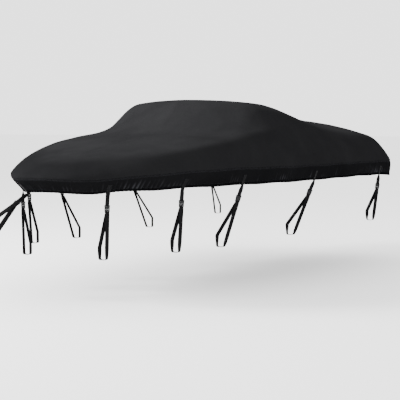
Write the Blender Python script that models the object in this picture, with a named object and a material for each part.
"""A fitted towing cover for a V-hull runabout, as it sits stretched over the boat.

The cloth is one thin shell: a blunt nose, a foredeck, a raised windshield arch,
a cockpit that falls away to the stern, and a drawn-in hem band. Eleven ties are
sewn to the hem: five a side and one at the nose. A tie is a webbing tab, a side
release buckle and a webbing loop that hangs open, ready to go round a rail.

Places are measured in metres from the nose at the level of the hem: x runs aft,
y to starboard and z up. The origin empty then moves everything, so that the world's
origin is the point under the top on which the cover rests.
"""
import math

import bmesh
import bpy
import numpy as np
from mathutils import Matrix, Vector

# ---- cloth -----------------------------------------------------------------
CLOTH = 0.002            # thickness of the coated canvas
RIB_SPACING = 0.13       # distance between two ribs along the rail
NOSE_SPACING = 0.08      # the same round the nose, over its first sections
NOSE_SECTIONS = 4
TIE_CLEARANCE = 0.035    # no other rib comes closer than this to a tie's rib
CROWN_ROUND = 0.07       # how far the cloth's turns reach to each side of a corner
SIDE_ROUND = 0.09
RAIL_ROUND = 0.035
ARM_SHARE = 0.45         # a turn takes up to this share of the way to the next corner
CORD_DEPTH = 0.026       # the hem's lowest strip, which holds its cord
CORD_BULGE = 0.004       # how far that strip stands out from the band
HEM_WAVE = 0.003         # the hem's line rises and falls by this much
HEM_WAVE_LENGTH = 0.61

# A rib runs from the spine (the cover's middle line) out to the rail and down to the
# hem. crown and side are the two corners that it turns on the way: their columns _t
# give the share of the way from spine to rail, and _z the height. tuck is how far the
# hem is drawn in under the rail.
COLUMNS = ("spine_x", "rail_x", "rail_y", "spine_z", "crown_t", "crown_z",
           "side_t", "side_z", "rail_z", "hem_z", "tuck")
SECTIONS = (
    # nose
    (0.60, -0.06, 0.00, 0.308, 0.45, 0.258, 0.87, 0.158, 0.105, -0.022, 0.13),
    (0.60, -0.04, 0.21, 0.308, 0.45, 0.258, 0.87, 0.160, 0.105, -0.028, 0.13),
    (0.60, 0.07, 0.42, 0.306, 0.46, 0.258, 0.87, 0.170, 0.107, -0.030, 0.13),
    (0.68, 0.26, 0.61, 0.314, 0.48, 0.272, 0.88, 0.198, 0.112, -0.014, 0.12),
    (0.86, 0.56, 0.81, 0.344, 0.52, 0.312, 0.88, 0.258, 0.120, -0.004, 0.08),
    # foredeck
    (1.12, 0.95, 0.96, 0.390, 0.58, 0.372, 0.88, 0.328, 0.128, 0.007, 0.07),
    (1.40, 1.30, 1.05, 0.438, 0.66, 0.426, 0.89, 0.372, 0.130, 0.010, 0.05),
    (1.60, 1.58, 1.09, 0.466, 0.74, 0.444, 0.90, 0.378, 0.130, 0.010, 0.05),
    # windshield, from its foot to its top arch
    (1.76, 1.82, 1.11, 0.544, 0.71, 0.470, 0.91, 0.370, 0.130, 0.008, 0.05),
    (1.92, 2.06, 1.12, 0.666, 0.65, 0.556, 0.91, 0.370, 0.130, 0.006, 0.05),
    (2.03, 2.25, 1.13, 0.768, 0.61, 0.704, 0.91, 0.370, 0.130, 0.004, 0.05),
    (2.12, 2.38, 1.13, 0.786, 0.61, 0.754, 0.91, 0.370, 0.130, 0.004, 0.05),
    # cockpit
    (2.40, 2.64, 1.14, 0.785, 0.62, 0.738, 0.91, 0.365, 0.130, 0.004, 0.05),
    (2.80, 2.92, 1.14, 0.758, 0.65, 0.668, 0.91, 0.360, 0.130, 0.004, 0.05),
    (3.20, 3.28, 1.14, 0.715, 0.68, 0.575, 0.91, 0.350, 0.130, 0.004, 0.05),
    (3.60, 3.64, 1.13, 0.655, 0.71, 0.515, 0.91, 0.345, 0.130, 0.004, 0.05),
    (4.00, 4.02, 1.12, 0.614, 0.74, 0.480, 0.91, 0.340, 0.130, 0.002, 0.05),
    (4.34, 4.40, 1.11, 0.595, 0.77, 0.460, 0.91, 0.335, 0.130, 0.000, 0.04),
    # stern
    (4.60, 4.68, 1.09, 0.560, 0.79, 0.430, 0.91, 0.320, 0.130, -0.010, 0.03),
    (4.60, 4.86, 1.04, 0.560, 0.80, 0.396, 0.90, 0.300, 0.130, -0.022, 0.02),
    (4.60, 4.96, 0.92, 0.560, 0.78, 0.390, 0.90, 0.290, 0.130, -0.026, 0.02),
    (4.60, 4.99, 0.75, 0.560, 0.66, 0.420, 0.89, 0.285, 0.130, -0.024, 0.02),
    (4.60, 5.00, 0.40, 0.560, 0.40, 0.500, 0.87, 0.285, 0.130, -0.020, 0.03),
    (4.60, 5.00, 0.00, 0.560, 0.30, 0.525, 0.86, 0.285, 0.130, -0.020, 0.03),
)
ARCH = 11                # the section whose spine is the top of the arch

# ---- ties ------------------------------------------------------------------
WEB = 0.038              # webbing width
WEB_THICK = 0.0018
SEAT = 0.0003            # gap between a piece and what it is sewn or threaded to
TAB_UP = 0.097           # the tab's stitched length on the band
TAB_DOWN = 0.100         # the tab's free length under the hem
TAB_SEAT = 0.0005        # gap between a tab and the band that it is stitched to
KNEE = 0.010             # the tab runs straight on under the hem before it turns
NEARBY = 0.01            # a step along the hem, to find its direction
BUCKLE_LONG = 0.058
BUCKLE_WIDE = 0.050
BUCKLE_THICK = 0.012
BUCKLE_EDGE = 0.0015
RAIL_WIDE = 0.070        # the beam that a loop goes round
RAIL_TALL = 0.100
LOOP_EYE = 0.011         # the loop's width inside its top turn, at the buckle
LOOP_BEND = 0.012        # radius of the loop's turns round the beam
EYE_REACH = 0.62         # the eye's corners lie this share of its width off its middle

# station along the boat, and the y and z of the loop's outer bottom corner
TIES = (
    (0.26, 0.440, -0.575),
    (0.80, 0.805, -0.540),
    (1.48, 0.845, -0.550),
    (2.78, 0.875, -0.540),
    (4.42, 1.010, -0.500),
)
# the nose tie leaves the hem a little to starboard and runs forward and down
NOSE_TIE_PLACE = 0.380   # running length along the rail
NOSE_TAB_UP = 0.060
NOSE_TAB_DOWN = 0.240
NOSE_LOW = Vector((-0.680, 0.000, -0.375))
NOSE_HIGH = Vector((-0.660, 0.000, -0.215))
NOSE_AIM = 0.65          # the tab points this far up from the low corner to the high


# ---- shape of the cover -----------------------------------------------------
def section_places():
    """Where each section lies along the rail, as a running length."""
    rail = np.array(SECTIONS)[:, 1:3]
    steps = np.linalg.norm(np.diff(rail, axis=0), axis=1)
    return np.concatenate([[0.0], np.cumsum(steps)])


PLACES = section_places()


def monotone_slopes(places, values):
    """Slopes that carry a smooth curve through the values without overshoot."""
    width = np.diff(places)[:, None]
    rise = np.diff(values, axis=0) / width
    slopes = np.zeros_like(values)
    before, after = rise[:-1], rise[1:]
    weight_a = 2 * width[1:] + width[:-1]
    weight_b = width[1:] + 2 * width[:-1]
    same_way = before * after > 0
    safe_before = np.where(same_way, before, 1.0)
    safe_after = np.where(same_way, after, 1.0)
    mean = (weight_a + weight_b) / (weight_a / safe_before + weight_b / safe_after)
    slopes[1:-1] = np.where(same_way, mean, 0.0)
    slopes[0], slopes[-1] = rise[0], rise[-1]
    return slopes


SECTION_VALUES = np.array(SECTIONS)
SECTION_SLOPES = monotone_slopes(PLACES, SECTION_VALUES)


def section_at(place):
    """The eleven columns at any running length along the rail, by name."""
    k = int(np.clip(np.searchsorted(PLACES, place, side="right") - 1, 0, len(PLACES) - 2))
    width = PLACES[k + 1] - PLACES[k]
    s = (place - PLACES[k]) / width
    start, end = SECTION_VALUES[k], SECTION_VALUES[k + 1]
    leave, reach = SECTION_SLOPES[k] * width, SECTION_SLOPES[k + 1] * width
    value = ((2 * s**3 - 3 * s**2 + 1) * start + (s**3 - 2 * s**2 + s) * leave
             + (3 * s**2 - 2 * s**3) * end + (s**3 - s**2) * reach)
    return dict(zip(COLUMNS, value))


def bend(before, corner, after, reach, steps):
    """A round turn at a corner, as points on a quadratic curve."""
    arm_in = before - corner
    arm_out = after - corner
    start = corner + arm_in * min(reach / arm_in.length, ARM_SHARE)
    end = corner + arm_out * min(reach / arm_out.length, ARM_SHARE)
    points = []
    for i in range(steps + 1):
        s = i / steps
        points.append(start * (1 - s) ** 2 + corner * 2 * s * (1 - s) + end * s * s)
    return points


def between(start, end, steps):
    """Points inside the straight stretch from start to end."""
    return [start.lerp(end, i / steps) for i in range(1, steps)]


def rib(place):
    """One rib on the port side: points from the spine to the rail and the hem."""
    at = section_at(place)
    spine = Vector((at["spine_x"], 0.0, at["spine_z"]))
    rail = Vector((at["rail_x"], -at["rail_y"], at["rail_z"]))
    out = Vector((rail.x - spine.x, rail.y, 0.0))
    outward = out.normalized()

    def on_rib(share, height):
        return Vector((spine.x + out.x * share, out.y * share, height))

    crown = on_rib(at["crown_t"], at["crown_z"])
    side = on_rib(at["side_t"], at["side_z"])
    wave = HEM_WAVE * math.sin(2 * math.pi * place / HEM_WAVE_LENGTH)
    hem = on_rib(1.0, at["hem_z"] + wave) - outward * at["tuck"]
    cord = hem.lerp(rail, CORD_DEPTH / (rail - hem).length)
    foot = hem + outward * CORD_BULGE

    top_turn = bend(spine, crown, side, CROWN_ROUND, 2)
    side_turn = bend(crown, side, rail, SIDE_ROUND, 3)
    rail_turn = bend(side, rail, hem, RAIL_ROUND, 2)
    level = Vector((crown.x, crown.y, spine.z)).lerp(spine, 0.5)
    crown_arc = []
    for i in range(5):
        s = i / 5
        crown_arc.append(spine * (1 - s) ** 2 + level * 2 * s * (1 - s) + top_turn[0] * s * s)
    return (crown_arc + top_turn + between(top_turn[-1], side_turn[0], 4) + side_turn
            + rail_turn + [cord, foot])


def rib_places():
    """Running lengths of all ribs: one at each section, one at each tie, and some in
    between. A rib that would crowd a tie's rib is left out."""
    places = []
    for k, (start, end) in enumerate(zip(PLACES[:-1], PLACES[1:])):
        spacing = NOSE_SPACING if k < NOSE_SECTIONS else RIB_SPACING
        steps = max(1, round((end - start) / spacing))
        places += [start + (end - start) * i / steps for i in range(steps)]
    at_ties = [place_of_hem(station) for station, _, _ in TIES] + [NOSE_TIE_PLACE]
    places = [place for place in places[1:]
              if min(abs(place - tie) for tie in at_ties) > TIE_CLEARANCE]
    return sorted([PLACES[0], PLACES[-1]] + places + at_ties)


def place_of_hem(station):
    """The running length at which the side's hem passes a station along the boat."""
    low, high = PLACES[0], PLACES[-5]
    for _ in range(50):
        middle = (low + high) / 2
        if rib(middle)[-1].x < station:
            low = middle
        else:
            high = middle
    return (low + high) / 2


# ---- materials ---------------------------------------------------------------
def material(name, color, roughness):
    made = bpy.data.materials.new(name)
    made.use_nodes = True
    shader = made.node_tree.nodes["Principled BSDF"]
    shader.inputs["Base Color"].default_value = (*color, 1.0)
    shader.inputs["Roughness"].default_value = roughness
    return made


def new_object(name, mesh, look, origin):
    made = bpy.data.objects.new(name, mesh)
    made.data.materials.append(look)
    made.parent = origin
    bpy.context.scene.collection.objects.link(made)
    return made


# ---- the cloth -----------------------------------------------------------------
def make_shell(look, origin):
    """The port half as a net of ribs, mirrored and given the cloth's thickness."""
    bm = bmesh.new()
    ribs = [[bm.verts.new(point) for point in rib(place)] for place in rib_places()]
    for ahead, behind in zip(ribs[:-1], ribs[1:]):
        for i in range(len(ahead) - 1):
            bm.faces.new((ahead[i], ahead[i + 1], behind[i + 1], behind[i]))
    bmesh.ops.remove_doubles(bm, verts=bm.verts, dist=0.00001)
    bmesh.ops.recalc_face_normals(bm, faces=bm.faces)
    highest = max(bm.faces, key=lambda face: face.calc_center_median().z)
    if highest.normal.z < 0:
        bmesh.ops.reverse_faces(bm, faces=bm.faces)
    mesh = bpy.data.meshes.new("shell")
    bm.to_mesh(mesh)
    bm.free()
    mesh.shade_smooth()
    shell = new_object("shell", mesh, look, origin)

    mirror = shell.modifiers.new("other side", "MIRROR")
    mirror.use_axis = (False, True, False)
    mirror.merge_threshold = 0.00005
    thickness = shell.modifiers.new("cloth", "SOLIDIFY")
    thickness.thickness = CLOTH
    thickness.offset = -1.0
    return shell


# ---- webbing and buckles ---------------------------------------------------------
def strip_mesh(name, path, facings, widths, closed):
    """A band of webbing along a path. At each point, widths gives the direction of
    its width, and facings the direction in which its thickness grows."""
    bm = bmesh.new()
    rings = []
    for point, facing, width in zip(path, facings, widths):
        half = width * (WEB / 2)
        back = facing * WEB_THICK
        corners = (point - half, point + half, point + half + back, point - half + back)
        rings.append([bm.verts.new(corner) for corner in corners])
    pairs = list(zip(rings[:-1], rings[1:]))
    if closed:
        pairs.append((rings[-1], rings[0]))
    for first, second in pairs:
        for i in range(4):
            j = (i + 1) % 4
            bm.faces.new((first[i], first[j], second[j], second[i]))
    if not closed:
        bm.faces.new(rings[0])
        bm.faces.new(rings[-1])
    bmesh.ops.recalc_face_normals(bm, faces=bm.faces)
    mesh = bpy.data.meshes.new(name)
    bm.to_mesh(mesh)
    bm.free()
    return mesh


def mirrored(vector, side):
    """The same place or direction on port (-1) or starboard (+1), from a port one."""
    return Vector((vector.x, -side * vector.y, vector.z))


def make_tab(name, place, stitched_length, top_of_buckle, width_there, side, look, origin):
    """A tab: stitched up the outside of the band, and free below the hem."""
    points = rib(place)
    foot, cord, band_top = points[-1], points[-2], points[-3]
    tangent = (rib(place + NEARBY)[-1] - rib(place - NEARBY)[-1]).normalized()
    up_band = (band_top - cord).normalized()
    outward = tangent.cross(up_band).normalized()
    if outward.dot(band_top - points[0]) < 0:
        outward = -outward
    stitched = cord + up_band * (stitched_length - CORD_DEPTH) + outward * TAB_SEAT
    knee = foot + outward * TAB_SEAT - up_band * KNEE
    turn = bend(stitched, knee, top_of_buckle, KNEE, 3)
    free = [turn[-1].lerp(top_of_buckle, share) for share in (1 / 3, 2 / 3, 1)]
    path = [stitched] + turn + free
    twist = [0] * (1 + len(turn)) + [1 / 3, 2 / 3, 1]
    widths = [tangent.lerp(width_there, share).normalized() for share in twist]
    facings = []
    last = outward
    for i, width in enumerate(widths):
        along = path[min(i + 1, len(path) - 1)] - path[max(i - 1, 0)]
        facing = along.cross(width).normalized()
        last = facing if facing.dot(last) > 0 else -facing
        facings.append(last)
    path = [mirrored(point, side) for point in path]
    facings = [mirrored(facing, side) for facing in facings]
    widths = [mirrored(width, side) for width in widths]
    return new_object(name, strip_mesh(name, path, facings, widths, False), look, origin)


def buckle_mesh():
    """A side release buckle, closed: its plan is extruded and its edges are eased."""
    half = BUCKLE_WIDE / 2
    waist = half * 0.80
    long = BUCKLE_LONG
    side = ((half * 0.94, 0.0), (half * 0.94, long * 0.16), (waist, long * 0.24),
            (waist, long * 0.44), (half, long * 0.52), (half, long * 0.80),
            (half * 0.88, long * 0.92), (half * 0.88, long))
    outline = [(x, -z) for x, z in side] + [(-x, -z) for x, z in reversed(side)]
    bm = bmesh.new()
    face = bm.faces.new([bm.verts.new((x, -BUCKLE_THICK / 2, z)) for x, z in outline])
    grown = bmesh.ops.extrude_face_region(bm, geom=[face])
    moved = [item for item in grown["geom"] if isinstance(item, bmesh.types.BMVert)]
    bmesh.ops.translate(bm, verts=moved, vec=(0, BUCKLE_THICK, 0))
    bmesh.ops.recalc_face_normals(bm, faces=bm.faces)
    rims = [edge for edge in bm.edges
            if abs(edge.verts[0].co.y - edge.verts[1].co.y) < BUCKLE_THICK / 2]
    bmesh.ops.bevel(bm, geom=rims, offset=BUCKLE_EDGE, segments=1, affect="EDGES")
    mesh = bpy.data.meshes.new("buckle")
    bm.to_mesh(mesh)
    bm.free()
    return mesh


def make_buckle(name, mesh, top, along, width, side, look, origin):
    """Place a buckle: its top bar at top, its length along, its width across."""
    buckle = new_object(name, mesh, look, origin)
    up = -mirrored(along, side).normalized()
    across = mirrored(width, side)
    across = (across - up * across.dot(up)).normalized()
    columns = Matrix((across, up.cross(across), up)).transposed()
    buckle.rotation_mode = "QUATERNION"
    buckle.rotation_quaternion = columns.to_quaternion()
    buckle.location = mirrored(top, side)
    return buckle


def rounded_loop(corners, radii, steps):
    """A closed path through the corners, each turned on its own radius."""
    path = []
    count = len(corners)
    for i, corner in enumerate(corners):
        to_last = (corners[i - 1] - corner).normalized()
        to_next = (corners[(i + 1) % count] - corner).normalized()
        opening = to_last.angle(to_next)
        reach = radii[i] / math.tan(opening / 2)
        centre = corner + (to_last + to_next).normalized() * (radii[i] / math.sin(opening / 2))
        start = corner + to_last * reach - centre
        end = corner + to_next * reach - centre
        sweep = start.angle(end)
        for j in range(steps + 1):
            share = j / steps
            arc = (start * math.sin((1 - share) * sweep) + end * math.sin(share * sweep))
            path.append(centre + arc / math.sin(sweep))
    return path


def make_loop(name, corners, width, side, look, origin):
    """A loop of webbing through the corners. The first is its turn at the buckle."""
    radii = [LOOP_EYE / 2] * 2 + [LOOP_BEND] * (len(corners) - 2)
    path = rounded_loop(corners, radii, 2)
    middle = sum(corners, Vector()) / len(corners)
    facings = []
    for i, point in enumerate(path):
        along = path[(i + 1) % len(path)] - path[i - 1]
        facing = along.cross(width).normalized()
        facings.append(facing if facing.dot(point - middle) > 0 else -facing)
    path = [mirrored(point, side) for point in path]
    facings = [mirrored(facing, side) for facing in facings]
    widths = [mirrored(width, side)] * len(path)
    return new_object(name, strip_mesh(name, path, facings, widths, True), look, origin)


def eye_corners(bottom_of_buckle, along, inward):
    """The two corners of the loop's narrow top, just below the buckle."""
    top = bottom_of_buckle + along * (SEAT + WEB_THICK)
    reach = inward * (LOOP_EYE * EYE_REACH)
    return top + reach, top - reach


def make_side_tie(number, side_name, side, look_web, look_plastic, buckle, origin):
    station, corner_y, corner_z = TIES[number - 1]
    label = f"{side_name}_{number}"
    place = place_of_hem(station)
    hem = rib(place)[-1]
    beam_foot = Vector((hem.x, -corner_y, corner_z))
    across = Vector((1, 0, 0))
    aim = (beam_foot - hem).normalized()
    inward = Vector((0, 1, 0))
    inward = (inward - aim * inward.dot(aim)).normalized()
    top = hem + aim * TAB_DOWN
    make_tab(f"tab_{label}", place, TAB_UP, top, across, side, look_web, origin)
    make_buckle(f"buckle_{label}", buckle, top + aim * SEAT, aim, across, side,
                look_plastic, origin)
    below = top + aim * (SEAT + BUCKLE_LONG)
    inner_eye, outer_eye = eye_corners(below, aim, inward)
    corners = [outer_eye, inner_eye,
               beam_foot + Vector((0, RAIL_WIDE, RAIL_TALL)),
               beam_foot + Vector((0, RAIL_WIDE, 0)),
               beam_foot]
    make_loop(f"loop_{label}", corners, across, side, look_web, origin)


def make_nose_tie(look_web, look_plastic, buckle, origin):
    """The nose tie is laid out to port as the others are, then taken to starboard."""
    starboard = 1
    hem = rib(NOSE_TIE_PLACE)[-1]
    low, high = (mirrored(point, starboard) for point in (NOSE_LOW, NOSE_HIGH))
    aim = (low.lerp(high, NOSE_AIM) - hem).normalized()
    across = Vector((0, 0, 1)).cross(aim).normalized()
    upward = aim.cross(across)
    top = hem + aim * NOSE_TAB_DOWN
    make_tab("tab_nose", NOSE_TIE_PLACE, NOSE_TAB_UP, top, across, starboard,
             look_web, origin)
    make_buckle("buckle_nose", buckle, top + aim * SEAT, aim, across, starboard,
                look_plastic, origin)
    below = top + aim * (SEAT + BUCKLE_LONG)
    upper_eye, lower_eye = eye_corners(below, aim, upward)
    make_loop("loop_nose", [lower_eye, upper_eye, high, low], across, starboard,
              look_web, origin)


# ---- everything ----------------------------------------------------------------
def main():
    for old in list(bpy.data.objects):
        bpy.data.objects.remove(old)
    arch_top = Vector((SECTIONS[ARCH][0], 0.0, SECTIONS[ARCH][3] - CLOTH))
    origin = bpy.data.objects.new("cover_origin", None)
    origin.location = -arch_top
    bpy.context.scene.collection.objects.link(origin)

    canvas = material("coated black canvas", (0.017, 0.017, 0.018), 0.75)
    webbing = material("black polypropylene webbing", (0.010, 0.010, 0.011), 0.60)
    plastic = material("black acetal", (0.012, 0.012, 0.013), 0.38)

    make_shell(canvas, origin)
    buckle = buckle_mesh()
    for number in range(1, len(TIES) + 1):
        make_side_tie(number, "port", -1, webbing, plastic, buckle, origin)
        make_side_tie(number, "starboard", 1, webbing, plastic, buckle.copy(), origin)
    make_nose_tie(webbing, plastic, buckle.copy(), origin)


main()
